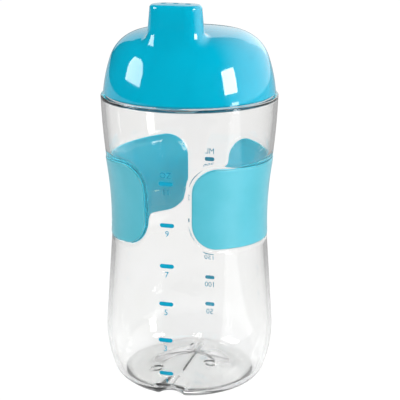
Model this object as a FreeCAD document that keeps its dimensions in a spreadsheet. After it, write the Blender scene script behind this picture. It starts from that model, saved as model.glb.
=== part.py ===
import FreeCAD, Part
import math
import os

import Sketcher
from FreeCAD import Placement, Rotation, Vector

# A child's sippy cup: a clear waisted cup with two soft grips let into its wall, a domed screw
# lid with a hard spout, a sealing ring, and a plug under the lid that carries two silicone valves.
# Millimetres. The origin is the centre of the foot, +Z is up and the spout is towards -Y.

DIMENSIONS = {
    # Cup: a chain of tangent arcs, from the foot up to the lip
    "foot_inner_radius": 22.3,
    "foot_outer_radius": 24.2,
    "foot_corner_radius": 10.3,
    "foot_corner_angle": 70.0,
    "bulge_height": 24.7,
    "bulge_crown_radius": 55.0,
    "flank_taper_angle": 4.0,
    "flank_top_height": 64.0,
    "waist_hollow_radius": 158.0,
    "shoulder_flare_angle": 7.9,
    "shoulder_crown_radius": 300.0,
    "lip_height": 129.35,
    "cup_wall": 1.8,
    "lip_shelf": 2.2,
    "floor_height": 3.4,
    "foot_recess": 1.0,
    "floor_ridge_rise": 2.3,
    "floor_ridge_reach": 22.0,
    "drain_depth": 1.5,
    "drain_width": 12.0,
    "drain_sweep_angle": 80.0,
    # Neck and screw thread
    "neck_radius": 32.6,
    "neck_inner_radius": 30.9,
    "neck_height": 138.0,
    "thread_depth": 1.2,
    "thread_root_width": 1.6,
    "thread_crest_width": 0.9,
    "thread_lead": 6.0,
    "thread_turns": 0.66,
    "thread_start_height": 132.2,
    "thread_embed": 0.4,
    # Grips
    "grip_gap_angle": 35.2,
    "grip_top_height": 104.2,
    "grip_top_dip": 2.1,
    "grip_bottom_height": 69.2,
    "grip_bottom_dip": 1.7,
    "grip_corner_radius": 11.0,
    "grip_recess": 1.6,
    "grip_proud": 0.25,
    # Lid
    "lid_edge_height": 130.4,
    "lid_edge_radius": 37.15,
    "lid_foot_height": 129.5,
    "lid_foot_radius": 36.1,
    "lid_flank_radius": 63.2,
    "lid_flank_centre_height": 124.8,
    "lid_shoulder_radius": 16.5,
    "lid_crown_radius": 129.7,
    "lid_top_height": 158.1,
    "lid_wall": 2.0,
    "lid_bore_radius": 34.2,
    "lid_seat_height": 139.7,
    "lid_seat_radius": 32.4,
    "plug_outer_radius": 30.6,
    "plug_inner_radius": 29.4,
    "plug_bottom_height": 134.0,
    # Spout
    "spout_offset": 20.3,
    "spout_base_height": 150.0,
    "spout_base_length": 25.4,
    "spout_base_width": 14.6,
    "spout_top_height": 170.0,
    "spout_top_length": 21.7,
    "spout_top_width": 12.6,
    "spout_edge_round": 1.4,
    "spout_roof": 1.8,
    "spout_hollow_base_height": 147.0,
    "spout_hollow_base_length": 13.6,
    "spout_hollow_base_width": 9.0,
    "spout_hollow_top_length": 17.6,
    "spout_hollow_top_width": 8.8,
    "sip_hole_radius": 1.25,
    "sip_hole_spacing": 5.2,
    # Sockets under the lid and the plug that fits them
    "drink_socket_offset": 18.0,
    "drink_socket_radius": 7.6,
    "vent_socket_offset": 4.5,
    "vent_socket_radius": 4.4,
    "socket_wall": 1.5,
    "socket_bottom_height": 143.6,
    "socket_top_height": 154.6,
    "socket_tube_top_height": 156.6,
    "vent_hole_radius": 0.8,
    "carrier_clearance": 0.15,
    "carrier_wall": 1.4,
    "carrier_top_height": 149.0,
    "carrier_plate_height": 141.6,
    "carrier_plate_thickness": 1.6,
    "carrier_plate_border": 1.6,
    "valve_clearance": 0.1,
    "valve_flange_thickness": 1.4,
    "valve_flange_border": 0.9,
    "valve_wall": 1.0,
    "valve_top_height": 147.0,
    "valve_dish": 1.6,
    "slit_width": 0.3,
    # Sealing ring
    "seal_gap": 0.05,
    "seal_outer_radius": 33.9,
    "seal_inner_radius": 30.7,
    "seal_bead_rise": 0.4,
}

THREAD_STARTS = 2
SIP_HOLES = 3


class Size:
    """A length with the spreadsheet expression that it comes from."""

    def __init__(self, value, text):
        self.value = float(value)
        self.text = text

    def _join(self, other, sign, value):
        return Size(value, "(%s %s %s)" % (self.text, sign, other.text))

    def __add__(self, other):
        other = as_size(other)
        return self._join(other, "+", self.value + other.value)

    def __sub__(self, other):
        other = as_size(other)
        return self._join(other, "-", self.value - other.value)

    def __mul__(self, factor):
        factor = as_size(factor)
        return self._join(factor, "*", self.value * factor.value)

    def __truediv__(self, divisor):
        divisor = as_size(divisor)
        return self._join(divisor, "/", self.value / divisor.value)

    def __neg__(self):
        return Size(-self.value, "(-%s)" % self.text)


def as_size(number):
    if isinstance(number, Size):
        return number
    return Size(number, "%.6f" % number)


doc = FreeCAD.newDocument("SippyCup")
sheet = doc.addObject("Spreadsheet::Sheet", "dims")
for row, (alias, value) in enumerate(DIMENSIONS.items(), start=1):
    sheet.set("A%d" % row, alias)
    sheet.set("B%d" % row, "%g" % value)
    sheet.setAlias("B%d" % row, alias)
doc.recompute()


def dim(alias):
    """A driving dimension, as a size bound to its cell."""
    return Size(sheet.get(alias), "dims.%s" % alias)


def val(alias):
    """A driving dimension's number."""
    return float(sheet.get(alias))


# ---------------------------------------------------------------- sketches and bodies

def new_body(name):
    body = doc.addObject("PartDesign::Body", name)
    body.Label = name
    return body


def origin_plane(body, role):
    return next(f for f in body.Origin.OriginFeatures if f.Role == role)


def new_sketch(body, name, role="XZ_Plane", height=None):
    """A sketch on an origin plane, lifted along its normal to a height if one is given."""
    sketch = body.newObject("Sketcher::SketchObject", name)
    sketch.AttachmentSupport = [(origin_plane(body, role), "")]
    sketch.MapMode = "FlatFace"
    if height is not None:
        sketch.AttachmentOffset = Placement(Vector(0, 0, height.value), Rotation())
        sketch.setExpression("AttachmentOffset.Base.z", height.text)
    return sketch


def bind(sketch, kind, places, size):
    """Adds a dimension to a sketch and binds it to its expression."""
    index = sketch.addConstraint(Sketcher.Constraint(kind, *places, size.value))
    if size.text.count("dims."):
        sketch.setExpression("Constraints[%d]" % index, size.text)


def pin(sketch, element, end, across, up):
    """Holds one end of an element at its distances from the sketch's origin."""
    bind(sketch, "DistanceX", (-1, 1, element, end), across)
    bind(sketch, "DistanceY", (-1, 1, element, end), up)


def polygon(sketch, corners):
    """A closed outline of straight lines through corners given as pairs of sizes."""
    corners = [(as_size(x), as_size(y)) for x, y in corners]
    points = [Vector(x.value, y.value, 0) for x, y in corners]
    count = len(points)
    first = sketch.GeometryCount
    for i in range(count):
        sketch.addGeometry(Part.LineSegment(points[i], points[(i + 1) % count]))
    for i in range(count):
        following = first + (i + 1) % count
        sketch.addConstraint(Sketcher.Constraint("Coincident", first + i, 2, following, 1))
    for i, (x, y) in enumerate(corners):
        pin(sketch, first + i, 1, x, y)


def circle(sketch, across, up, radius):
    across, up, radius = as_size(across), as_size(up), as_size(radius)
    centre = Vector(across.value, up.value, 0)
    element = sketch.addGeometry(Part.Circle(centre, Vector(0, 0, 1), radius.value))
    bind(sketch, "Radius", (element,), radius)
    pin(sketch, element, 3, across, up)


def slot(sketch, length, width, across, up):
    """A stadium outline: two half circles joined by two straight sides along the sketch's X."""
    across, up = as_size(across), as_size(up)
    radius = width / 2
    reach = (length - width) / 2
    left = Vector(across.value - reach.value, up.value, 0)
    right = Vector(across.value + reach.value, up.value, 0)
    side = Vector(0, radius.value, 0)
    normal = Vector(0, 0, 1)
    quarter = math.pi / 2
    low = sketch.addGeometry(Part.LineSegment(left - side, right - side))
    right_end = sketch.addGeometry(
        Part.ArcOfCircle(Part.Circle(right, normal, radius.value), -quarter, quarter))
    high = sketch.addGeometry(Part.LineSegment(right + side, left + side))
    left_end = sketch.addGeometry(
        Part.ArcOfCircle(Part.Circle(left, normal, radius.value), quarter, 3 * quarter))
    order = [low, right_end, high, left_end]
    for i, element in enumerate(order):
        sketch.addConstraint(Sketcher.Constraint("Tangent", element, 2, order[(i + 1) % 4], 1))
    bind(sketch, "Radius", (right_end,), radius)
    pin(sketch, right_end, 3, across + reach, up)
    pin(sketch, left_end, 3, across - reach, up)


def revolve(body, sketch, name="turned"):
    feature = body.newObject("PartDesign::Revolution", name)
    feature.Profile = sketch
    feature.ReferenceAxis = (sketch, ["V_Axis"])
    feature.Angle = 360.0
    sketch.Visibility = False
    return feature


def pad(body, sketch, length, name, reverse=False):
    feature = body.newObject("PartDesign::Pad", name)
    feature.Profile = sketch
    feature.Length = length.value
    feature.setExpression("Length", length.text)
    feature.Reversed = reverse
    return feature


def pocket(body, sketch, length, name, reverse=False):
    feature = body.newObject("PartDesign::Pocket", name)
    feature.Profile = sketch
    feature.Length = length.value
    feature.setExpression("Length", length.text)
    feature.Reversed = reverse
    return feature


def loft(body, kind, low, high, name):
    feature = body.newObject("PartDesign::%sLoft" % kind, name)
    feature.Profile = low
    feature.Sections = [high]
    return feature


# ---------------------------------------------------------------- silicone and carrier pieces

def build_lid_seal():
    """A flat silicone ring with a low bead, squeezed between the neck's rim and the lid."""
    body = new_body("lid_seal")
    sketch = new_sketch(body, "seal_section")
    low = dim("neck_height") + dim("seal_gap")
    high = dim("lid_seat_height") - dim("seal_gap")
    bead_low = high - dim("seal_bead_rise")
    middle = (dim("seal_inner_radius") + dim("lid_seat_radius")) / 2
    polygon(sketch, [
        (dim("seal_inner_radius"), low),
        (dim("seal_outer_radius"), low),
        (dim("seal_outer_radius"), high),
        (dim("lid_seat_radius"), high),
        (middle, bead_low),
        (dim("seal_inner_radius"), bead_low),
    ])
    revolve(body, sketch)
    return body


def build_valve_carrier():
    """A hard plug: a plate with two hollow posts, one for each socket under the lid."""
    body = new_body("valve_carrier")
    clearance = dim("carrier_clearance")
    drink_radius = dim("drink_socket_radius") - clearance
    vent_radius = dim("vent_socket_radius") - clearance
    posts = [
        ("drink", -dim("drink_socket_offset"), drink_radius),
        ("vent", dim("vent_socket_offset"), vent_radius),
    ]
    plate_top = dim("carrier_plate_height") + dim("carrier_plate_thickness")
    border = dim("carrier_plate_border")
    bridge = new_sketch(body, "bridge_outline", "XY_Plane", dim("carrier_plate_height"))
    half_bridge = vent_radius
    polygon(bridge, [
        (-half_bridge, -dim("drink_socket_offset")),
        (half_bridge, -dim("drink_socket_offset")),
        (half_bridge, dim("vent_socket_offset")),
        (-half_bridge, dim("vent_socket_offset")),
    ])
    pad(body, bridge, dim("carrier_plate_thickness"), "bridge")
    for name, offset, radius in posts:
        disc = new_sketch(body, name + "_disc_outline", "XY_Plane", dim("carrier_plate_height"))
        circle(disc, 0, offset, radius + border)
        pad(body, disc, dim("carrier_plate_thickness"), name + "_disc")
        post = new_sketch(body, name + "_post_outline", "XY_Plane", plate_top)
        circle(post, 0, offset, radius)
        pad(body, post, dim("carrier_top_height") - plate_top, name + "_post")
    for name, offset, radius in posts:
        port = new_sketch(body, name + "_port_outline", "XY_Plane", dim("carrier_plate_height"))
        circle(port, 0, offset, radius - dim("carrier_wall"))
        depth = dim("carrier_top_height") - dim("carrier_plate_height")
        pocket(body, port, depth, name + "_port", reverse=True)
    return body


def build_valve(name, offset, port_radius):
    """A silicone valve: a flange, a sleeve and a dished roof with a slit across it."""
    body = new_body(name)
    turned = new_sketch(body, "valve_section")
    sleeve = port_radius - dim("valve_clearance")
    bore = sleeve - dim("valve_wall")
    flange = sleeve + dim("valve_flange_border")
    flange_low = dim("carrier_plate_height") - dim("valve_flange_thickness")
    roof = dim("valve_top_height")
    dish = dim("valve_dish")
    wall = dim("valve_wall")
    polygon(turned, [
        (bore, flange_low),
        (flange, flange_low),
        (flange, dim("carrier_plate_height")),
        (sleeve, dim("carrier_plate_height")),
        (sleeve, roof),
        (sleeve * 0.75, roof),
        (0, roof - dish),
        (0, roof - dish - wall),
        (bore, roof - dish),
    ])
    revolve(body, turned)
    slit = new_sketch(body, "slit_outline", "XY_Plane", flange_low)
    half_width = dim("slit_width") / 2
    half_length = bore * 0.6
    polygon(slit, [
        (-half_length, -half_width),
        (half_length, -half_width),
        (half_length, half_width),
        (-half_length, half_width),
    ])
    pocket(body, slit, roof - flange_low, "slit", reverse=True)
    body.Placement = Placement(Vector(0, offset.value, 0), Rotation())
    body.setExpression("Placement.Base.y", offset.text)
    return body


# ---------------------------------------------------------------- lid

def arc_between(centre, radius, start, end):
    """An arc of a circle in a sketch, counter-clockwise from one point to the other."""
    angles = [math.atan2(p.y - centre.y, p.x - centre.x) for p in (start, end)]
    return Part.ArcOfCircle(Part.Circle(centre, Vector(0, 0, 1), radius), *angles)


def touching_centre(low_centre, low_radius, high_centre, high_radius, radius):
    """Centre of the blend circle that lies inside two others and touches both."""
    span = high_centre - low_centre
    gap = span.Length
    near = low_radius - radius
    far = high_radius - radius
    along = (near ** 2 - far ** 2 + gap ** 2) / (2 * gap)
    aside = math.sqrt(near ** 2 - along ** 2)
    direction = span / gap
    normal = Vector(-direction.y, direction.x, 0)
    options = [low_centre + direction * along + normal * aside * side for side in (1, -1)]
    return max(options, key=lambda point: point.x)


def lid_section(body):
    """Half of the lid's section: flank, shoulder and crown arcs outside, and the seat inside."""
    sketch = new_sketch(body, "lid_section")
    wall = val("lid_wall")
    flank = val("lid_flank_radius")
    shoulder = val("lid_shoulder_radius")
    crown = val("lid_crown_radius")
    edge = Vector(val("lid_edge_radius"), val("lid_edge_height"), 0)
    rise = edge.y - val("lid_flank_centre_height")
    flank_centre = Vector(edge.x - math.sqrt(flank ** 2 - rise ** 2), edge.y - rise, 0)
    crown_centre = Vector(0, val("lid_top_height") - crown, 0)
    shoulder_centre = touching_centre(flank_centre, flank, crown_centre, crown, shoulder)
    to_flank = (shoulder_centre - flank_centre).normalize()
    to_crown = (shoulder_centre - crown_centre).normalize()
    top = Vector(0, val("lid_top_height"), 0)
    low_joint = flank_centre + to_flank * flank
    high_joint = crown_centre + to_crown * crown
    inner_top = top - Vector(0, wall, 0)
    inner_joint = crown_centre + to_crown * (crown - wall)

    def under_shoulder(radius):
        reach = radius - shoulder_centre.x
        height = math.sqrt((shoulder - wall) ** 2 - reach ** 2)
        return Vector(radius, shoulder_centre.y + height, 0)

    def corner(radius, height):
        return Vector(val(radius), val(height), 0)

    plug_in = under_shoulder(val("plug_inner_radius"))
    plug_out = under_shoulder(val("plug_outer_radius"))
    seat_in = under_shoulder(val("lid_seat_radius"))
    seat_corner = corner("lid_seat_radius", "lid_seat_height")
    bore_top = corner("lid_bore_radius", "lid_seat_height")
    bore_low = corner("lid_bore_radius", "lid_foot_height")
    foot_low = corner("lid_foot_radius", "lid_foot_height")
    foot_high = corner("lid_foot_radius", "lid_edge_height")
    plug_low_in = corner("plug_inner_radius", "plug_bottom_height")
    plug_low_out = corner("plug_outer_radius", "plug_bottom_height")
    lining = shoulder - wall
    outline = [
        Part.LineSegment(foot_low, foot_high),
        Part.LineSegment(foot_high, edge),
        arc_between(flank_centre, flank, edge, low_joint),
        arc_between(shoulder_centre, shoulder, low_joint, high_joint),
        arc_between(crown_centre, crown, high_joint, top),
        Part.LineSegment(top, inner_top),
        arc_between(crown_centre, crown - wall, inner_joint, inner_top),
        arc_between(shoulder_centre, lining, plug_in, inner_joint),
        Part.LineSegment(plug_in, plug_low_in),
        Part.LineSegment(plug_low_in, plug_low_out),
        Part.LineSegment(plug_low_out, plug_out),
        arc_between(shoulder_centre, lining, seat_in, plug_out),
        Part.LineSegment(seat_in, seat_corner),
        Part.LineSegment(seat_corner, bore_top),
        Part.LineSegment(bore_top, bore_low),
        Part.LineSegment(bore_low, foot_low),
    ]
    sketch.addGeometry(outline)
    backwards = {6, 7, 11}
    smooth = {2, 3, 6}
    count = len(outline)
    for i in range(count):
        if i in smooth:
            continue
        following = (i + 1) % count
        end = 1 if i in backwards else 2
        start = 2 if following in backwards else 1
        sketch.addConstraint(Sketcher.Constraint("Coincident", i, end, following, start))
    pin(sketch, 0, 1, dim("lid_foot_radius"), dim("lid_foot_height"))
    pin(sketch, 1, 1, dim("lid_foot_radius"), dim("lid_edge_height"))
    pin(sketch, 2, 1, dim("lid_edge_radius"), dim("lid_edge_height"))
    pin(sketch, 5, 1, as_size(0), dim("lid_top_height"))
    pin(sketch, 5, 2, as_size(0), dim("lid_top_height") - dim("lid_wall"))
    pin(sketch, 9, 1, dim("plug_inner_radius"), dim("plug_bottom_height"))
    pin(sketch, 10, 1, dim("plug_outer_radius"), dim("plug_bottom_height"))
    pin(sketch, 13, 1, dim("lid_seat_radius"), dim("lid_seat_height"))
    pin(sketch, 14, 1, dim("lid_bore_radius"), dim("lid_seat_height"))
    pin(sketch, 15, 1, dim("lid_bore_radius"), dim("lid_foot_height"))
    for element in (8, 10, 12):
        sketch.addConstraint(Sketcher.Constraint("Vertical", element))
    bind(sketch, "Radius", (2,), dim("lid_flank_radius"))
    bind(sketch, "DistanceY", (-1, 1, 2, 3), dim("lid_flank_centre_height"))
    bind(sketch, "Radius", (3,), dim("lid_shoulder_radius"))
    bind(sketch, "Radius", (4,), dim("lid_crown_radius"))
    sketch.addConstraint(Sketcher.Constraint("PointOnObject", 4, 3, -2))
    sketch.addConstraint(Sketcher.Constraint("Tangent", 2, 2, 3, 1))
    sketch.addConstraint(Sketcher.Constraint("Tangent", 3, 2, 4, 1))
    sketch.addConstraint(Sketcher.Constraint("Coincident", 6, 3, 4, 3))
    for lining_arc in (7, 11):
        sketch.addConstraint(Sketcher.Constraint("Coincident", lining_arc, 3, 3, 3))
    bind(sketch, "Radius", (11,), dim("lid_shoulder_radius") - dim("lid_wall"))
    sketch.addConstraint(Sketcher.Constraint("Tangent", 6, 1, 7, 2))
    return sketch


def add_lid_thread(body):
    """The lid's helical ridges. They start a quarter turn from the neck's, so each runs midway
    between two ridges of the neck."""
    sketch = new_sketch(body, "ridge_section", "YZ_Plane")
    middle = dim("thread_start_height")
    root = dim("lid_bore_radius") + dim("thread_embed")
    crest = dim("lid_bore_radius") - dim("thread_depth")
    half_root = dim("thread_root_width") / 2
    half_crest = dim("thread_crest_width") / 2
    polygon(sketch, [
        (root, middle - half_root),
        (root, middle + half_root),
        (crest, middle + half_crest),
        (crest, middle - half_crest),
    ])
    ridge = body.newObject("PartDesign::AdditiveHelix", "thread_ridge")
    ridge.Profile = sketch
    ridge.ReferenceAxis = (sketch, ["V_Axis"])
    ridge.Mode = "pitch-turns-angle"
    ridge.setExpression("Pitch", "dims.thread_lead")
    ridge.setExpression("Turns", "dims.thread_turns")
    ridge.Angle = 0
    starts = body.newObject("PartDesign::PolarPattern", "thread_starts")
    starts.Originals = [ridge]
    starts.Axis = (origin_plane(body, "Z_Axis"), [""])
    starts.Angle = 360.0
    starts.Occurrences = THREAD_STARTS
    body.Tip = starts


def round_spout_edge(body):
    """Rounds the rim of the spout's flat top."""
    doc.recompute()
    spout = body.Tip
    rim = [
        "Edge%d" % number
        for number, edge in enumerate(spout.Shape.Edges, start=1)
        if edge.BoundBox.ZMin > val("spout_top_height") - 0.01
    ]
    crown = body.newObject("PartDesign::Fillet", "spout_edge")
    crown.Base = (spout, rim)
    crown.setExpression("Radius", "dims.spout_edge_round")


def build_lid():
    body = new_body("lid")
    revolve(body, lid_section(body), "dome")
    sink = -dim("spout_offset")
    base = new_sketch(body, "spout_base", "XY_Plane", dim("spout_base_height"))
    slot(base, dim("spout_base_length"), dim("spout_base_width"), 0, sink)
    top = new_sketch(body, "spout_top", "XY_Plane", dim("spout_top_height"))
    slot(top, dim("spout_top_length"), dim("spout_top_width"), 0, sink)
    loft(body, "Additive", base, top, "spout")
    round_spout_edge(body)
    sockets = [
        ("drink", -dim("drink_socket_offset"), dim("drink_socket_radius")),
        ("vent", dim("vent_socket_offset"), dim("vent_socket_radius")),
    ]
    for name, offset, radius in sockets:
        outline = new_sketch(body, name + "_tube_outline", "XY_Plane", dim("socket_bottom_height"))
        circle(outline, 0, offset, radius + dim("socket_wall"))
        height = dim("socket_tube_top_height") - dim("socket_bottom_height")
        pad(body, outline, height, name + "_tube")
    for name, offset, radius in sockets:
        outline = new_sketch(body, name + "_socket_outline", "XY_Plane", dim("socket_bottom_height"))
        circle(outline, 0, offset, radius)
        depth = dim("socket_top_height") - dim("socket_bottom_height")
        pocket(body, outline, depth, name + "_socket", reverse=True)
    hollow_base = new_sketch(body, "hollow_base", "XY_Plane", dim("spout_hollow_base_height"))
    slot(hollow_base, dim("spout_hollow_base_length"), dim("spout_hollow_base_width"), 0, sink)
    roof = dim("spout_top_height") - dim("spout_roof")
    hollow_top = new_sketch(body, "hollow_top", "XY_Plane", roof)
    slot(hollow_top, dim("spout_hollow_top_length"), dim("spout_hollow_top_width"), 0, sink)
    loft(body, "Subtractive", hollow_base, hollow_top, "spout_hollow")
    holes = new_sketch(body, "sip_hole_outline", "XY_Plane", roof)
    for i in range(SIP_HOLES):
        across = dim("sip_hole_spacing") * (i - (SIP_HOLES - 1) / 2)
        circle(holes, across, sink, dim("sip_hole_radius"))
    pocket(body, holes, dim("spout_roof"), "sip_holes", reverse=True)
    vent = new_sketch(body, "vent_hole_outline", "XY_Plane", dim("socket_bottom_height"))
    circle(vent, 0, dim("vent_socket_offset"), dim("vent_hole_radius"))
    reach = dim("lid_top_height") - dim("socket_bottom_height")
    pocket(body, vent, reach, "vent_hole", reverse=True)
    add_lid_thread(body)
    return body


# ---------------------------------------------------------------- cup and grips

def cup_chain():
    """The cup's outer section, from the foot to the lip, as tangent arcs and one taper.

    Each stretch is a radius and a turn, positive where the wall bends inwards as it rises. The
    taper has no radius, and gives the height where it ends. The last arc ends at the lip.
    """
    upright = math.pi / 2
    taper = upright + math.radians(val("flank_taper_angle"))
    flare = upright - math.radians(val("shoulder_flare_angle"))
    corner_angle = math.radians(val("foot_corner_angle"))
    corner_rise = val("foot_corner_radius") * (1.0 - math.cos(corner_angle))
    flank_radius = (val("bulge_height") - corner_rise) / math.cos(corner_angle)
    return [
        (val("foot_corner_radius"), corner_angle),
        (flank_radius, upright - corner_angle),
        (val("bulge_crown_radius"), taper - upright),
        (None, val("flank_top_height")),
        (-val("waist_hollow_radius"), flare - taper),
        (val("shoulder_crown_radius"), None),
    ]


def section_edges(inset):
    """Edges of the cup's outer section moved inwards by a distance, in the XZ plane."""
    edges = []
    place = Vector(val("foot_outer_radius"), 0, 0)
    heading = 0.0
    for radius, extent in cup_chain():
        ahead = Vector(math.cos(heading), 0, math.sin(heading))
        inwards = Vector(-math.sin(heading), 0, math.cos(heading))
        if radius is None:
            end = place + ahead * ((extent - place.z) / math.sin(heading))
            edges.append(Part.makeLine(place + inwards * inset, end + inwards * inset))
            place = end
            continue
        centre = place + inwards * radius
        if extent is None:
            extent = math.acos((centre.z - val("lip_height")) / radius) - heading
        angles = [heading + extent * share for share in (0.0, 0.5, 1.0)]
        outs = [Vector(math.sin(angle), 0, -math.cos(angle)) for angle in angles]
        edges.append(Part.Arc(*[centre + out * (radius - inset) for out in outs]).toShape())
        place = centre + outs[-1] * radius
        heading += extent
    return edges


def spin(face, angle=360.0, start=0.0):
    """Turns a face about the cup's axis, from a starting angle."""
    solid = face.revolve(Vector(0, 0, 0), Vector(0, 0, 1), angle)
    solid.rotate(Vector(0, 0, 0), Vector(0, 0, 1), start)
    return solid


def solid_within(inset, low, high):
    """Everything inside the cup's outer section moved inwards, between two heights."""
    edges = section_edges(inset)
    start = edges[0].Vertexes[0].Point
    end = edges[-1].Vertexes[-1].Point
    stops = [end, Vector(0, 0, end.z), Vector(0, 0, start.z), start]
    lines = [Part.makeLine(a, b) for a, b in zip(stops, stops[1:])]
    solid = spin(Part.Face(Part.Wire(edges + lines)))
    slab = Part.makeCylinder(2 * val("lid_edge_radius"), high - low, Vector(0, 0, low))
    return solid.common(slab)


def grip_zone(border):
    """The block that a grip's outline cuts out of the right side, grown by a border."""
    reach = 2 * val("lid_edge_radius")
    gap = val("grip_gap_angle") - 2 * math.degrees(border / val("neck_radius"))
    core = val("foot_inner_radius")
    section = Part.makePlane(reach - core, val("lip_height"), Vector(core, 0, 0))
    section.rotate(Vector(0, 0, 0), Vector(1, 0, 0), 90)
    sector = spin(section, 180.0 - gap, gap / 2 - 90.0)
    half = val("neck_radius")

    def bowed_edge(height, dip):
        radius = (half ** 2 + dip ** 2) / (2 * dip)
        bottom = height - dip
        rise = radius - math.sqrt(radius ** 2 - reach ** 2)
        ends = [Vector(0, side * reach, bottom + rise) for side in (-1, 1)]
        return Part.Arc(ends[0], Vector(0, 0, bottom), ends[1]).toShape()

    high = bowed_edge(val("grip_top_height") + border, val("grip_top_dip"))
    low = bowed_edge(val("grip_bottom_height") - border, val("grip_bottom_dip"))
    sides = [Part.makeLine(low.Vertexes[i].Point, high.Vertexes[i].Point) for i in (0, 1)]
    band = Part.Face(Part.Wire([high, sides[1], low, sides[0]]))
    block = sector.common(band.extrude(Vector(reach, 0, 0)))
    corners = []
    for edge in block.Edges:
        radii = [math.hypot(vertex.X, vertex.Y) for vertex in edge.Vertexes]
        if max(radii) - min(radii) > core:
            corners.append(edge)
    return block.makeFillet(val("grip_corner_radius") + border, corners)


def ring_between(outer_inset, inner_inset, low, high):
    """The shell between two insets of the cup's outer section."""
    return solid_within(outer_inset, low, high).cut(solid_within(inner_inset, low, high))


def drain_tube(thickness):
    """A round-backed channel that follows the foot from front to back, grown by a thickness."""
    half_width = val("drain_width") / 2
    back = (half_width ** 2 + val("drain_depth") ** 2) / (2 * val("drain_depth"))
    radius = back + thickness
    bottom = val("drain_depth") - back
    corner = val("foot_corner_radius")
    half = val("foot_outer_radius")
    run = Part.makeCylinder(radius, 2 * half, Vector(0, -half, bottom), Vector(0, 1, 0))
    tube = run
    for side in (-1, 1):
        disc = Part.Face(Part.Wire(Part.makeCircle(
            radius, Vector(0, side * half, bottom), Vector(0, 1, 0))))
        end = disc.revolve(
            Vector(0, side * half, corner), Vector(side, 0, 0), val("drain_sweep_angle"))
        tube = tube.fuse(end)
    return tube


def neck_ridges():
    """The neck's helical ridges, one for each start of the thread."""
    lead = val("thread_lead")
    middle = val("thread_start_height")
    root = val("neck_radius") - val("thread_embed")
    crest = val("neck_radius") + val("thread_depth")
    half_root = val("thread_root_width") / 2
    half_crest = val("thread_crest_width") / 2
    corners = [
        Vector(root, 0, middle - half_root),
        Vector(crest, 0, middle - half_crest),
        Vector(crest, 0, middle + half_crest),
        Vector(root, 0, middle + half_root),
    ]
    section = Part.makePolygon(corners + corners[:1])
    spine = Part.makeHelix(lead, lead * val("thread_turns"), val("neck_radius"))
    spine.translate(Vector(0, 0, middle))
    ridge = Part.Wire(spine).makePipeShell([section], True, True)
    ridges = []
    for start in range(THREAD_STARTS):
        turned = ridge.copy()
        turned.rotate(Vector(0, 0, 0), Vector(0, 0, 1), start * 360.0 / THREAD_STARTS)
        ridges.append(turned)
    return ridges


def floor_ridge(level):
    """A long low roof from front to back, standing on a level."""
    reach = val("floor_ridge_reach")
    long = val("lid_edge_radius")
    corners = [
        Vector(-reach, -long, level),
        Vector(0, -long, level + val("floor_ridge_rise")),
        Vector(reach, -long, level),
        Vector(0, -long, 0),
    ]
    section = Part.Face(Part.makePolygon(corners + corners[:1]))
    return section.extrude(Vector(0, 2 * long, 0))


def cup_cavity():
    """The space inside the cup: the bulged hollow less the ridge on its floor and the bumps
    that the drain makes, with the narrower neck on top."""
    wall = val("cup_wall")
    floor = val("floor_height")
    ceiling = val("lip_height") - val("lip_shelf")
    hollow = solid_within(wall, floor, ceiling)
    long = val("lid_edge_radius")
    bumps = drain_tube(wall)
    neck = Part.makeCylinder(
        val("neck_inner_radius"), val("neck_height") - floor, Vector(0, 0, floor))
    above = neck.common(Part.makeBox(
        4 * long, 4 * long, val("neck_height"), Vector(-2 * long, -2 * long, ceiling)))
    return hollow.cut(floor_ridge(floor)).cut(bumps).fuse(above)


def build_cup_body():
    """The clear cup: its wall, the pockets for the grips, the foot, the neck and its thread."""
    wall = val("cup_wall")
    lip = val("lip_height")
    low = val("grip_bottom_height") - 20
    high = val("grip_top_height") + 15
    recess = val("grip_recess")
    shell = solid_within(0.0, 0.0, lip)
    neck = Part.makeCylinder(
        val("neck_radius"), val("neck_height") - lip + 1.0, Vector(0, 0, lip - 1.0))
    cavity = cup_cavity()
    for side in (0.0, 180.0):
        inner = grip_zone(wall)
        inner.rotate(Vector(0, 0, 0), Vector(0, 0, 1), side)
        cavity = cavity.cut(ring_between(wall / 2, recess + wall, low, high).common(inner))
    cup = shell.fuse(neck).cut(cavity)
    for side in (0.0, 180.0):
        window = grip_zone(0.0)
        window.rotate(Vector(0, 0, 0), Vector(0, 0, 1), side)
        cup = cup.cut(ring_between(-3.0, recess, low, high).common(window))
    cup = cup.cut(drain_tube(0.0))
    inner_foot = val("foot_inner_radius")
    recess = val("foot_recess")
    cup = cup.cut(Part.makeCylinder(inner_foot, recess))
    hollow = Part.makeCylinder(inner_foot - 1.0, lip, Vector(0, 0, recess))
    cup = cup.cut(floor_ridge(recess).common(hollow))
    for ridge in neck_ridges():
        cup = cup.fuse(ridge)
    cup = cup.removeSplitter()
    feature = doc.addObject("Part::Feature", "cup_body")
    feature.Label = "cup_body"
    feature.Shape = cup.Solids[0] if len(cup.Solids) == 1 else cup
    feature.Placement = Placement()
    return feature


def build_grip(name, turn):
    """A soft pad that fills its pocket and stands a little proud of the wall."""
    low = val("grip_bottom_height") - 20
    high = val("grip_top_height") + 15
    shell = ring_between(-val("grip_proud"), val("grip_recess"), low, high)
    pad_shape = shell.common(grip_zone(0.0))
    feature = doc.addObject("Part::Feature", name)
    feature.Label = name
    feature.Shape = pad_shape.Solids[0]
    feature.Placement = Placement(Vector(0, 0, 0), Rotation(Vector(0, 0, 1), turn))
    return feature


# ---------------------------------------------------------------- assembly

def check_document():
    doc.recompute()
    for item in doc.Objects:
        if "Invalid" in item.State or "Error" in item.State:
            raise RuntimeError("%s is %s" % (item.Label, item.State))


def export(parts):
    os.makedirs("parts", exist_ok=True)
    for item in parts:
        if item.Shape.isNull() or not item.Shape.isValid():
            raise RuntimeError("%s has no valid shape" % item.Label)
        item.Shape.exportStep("parts/%s.step" % item.Label)
        print("%-16s %d solid(s) %10.1f mm3" % (
            item.Label, len(item.Shape.Solids), item.Shape.Volume))


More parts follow.
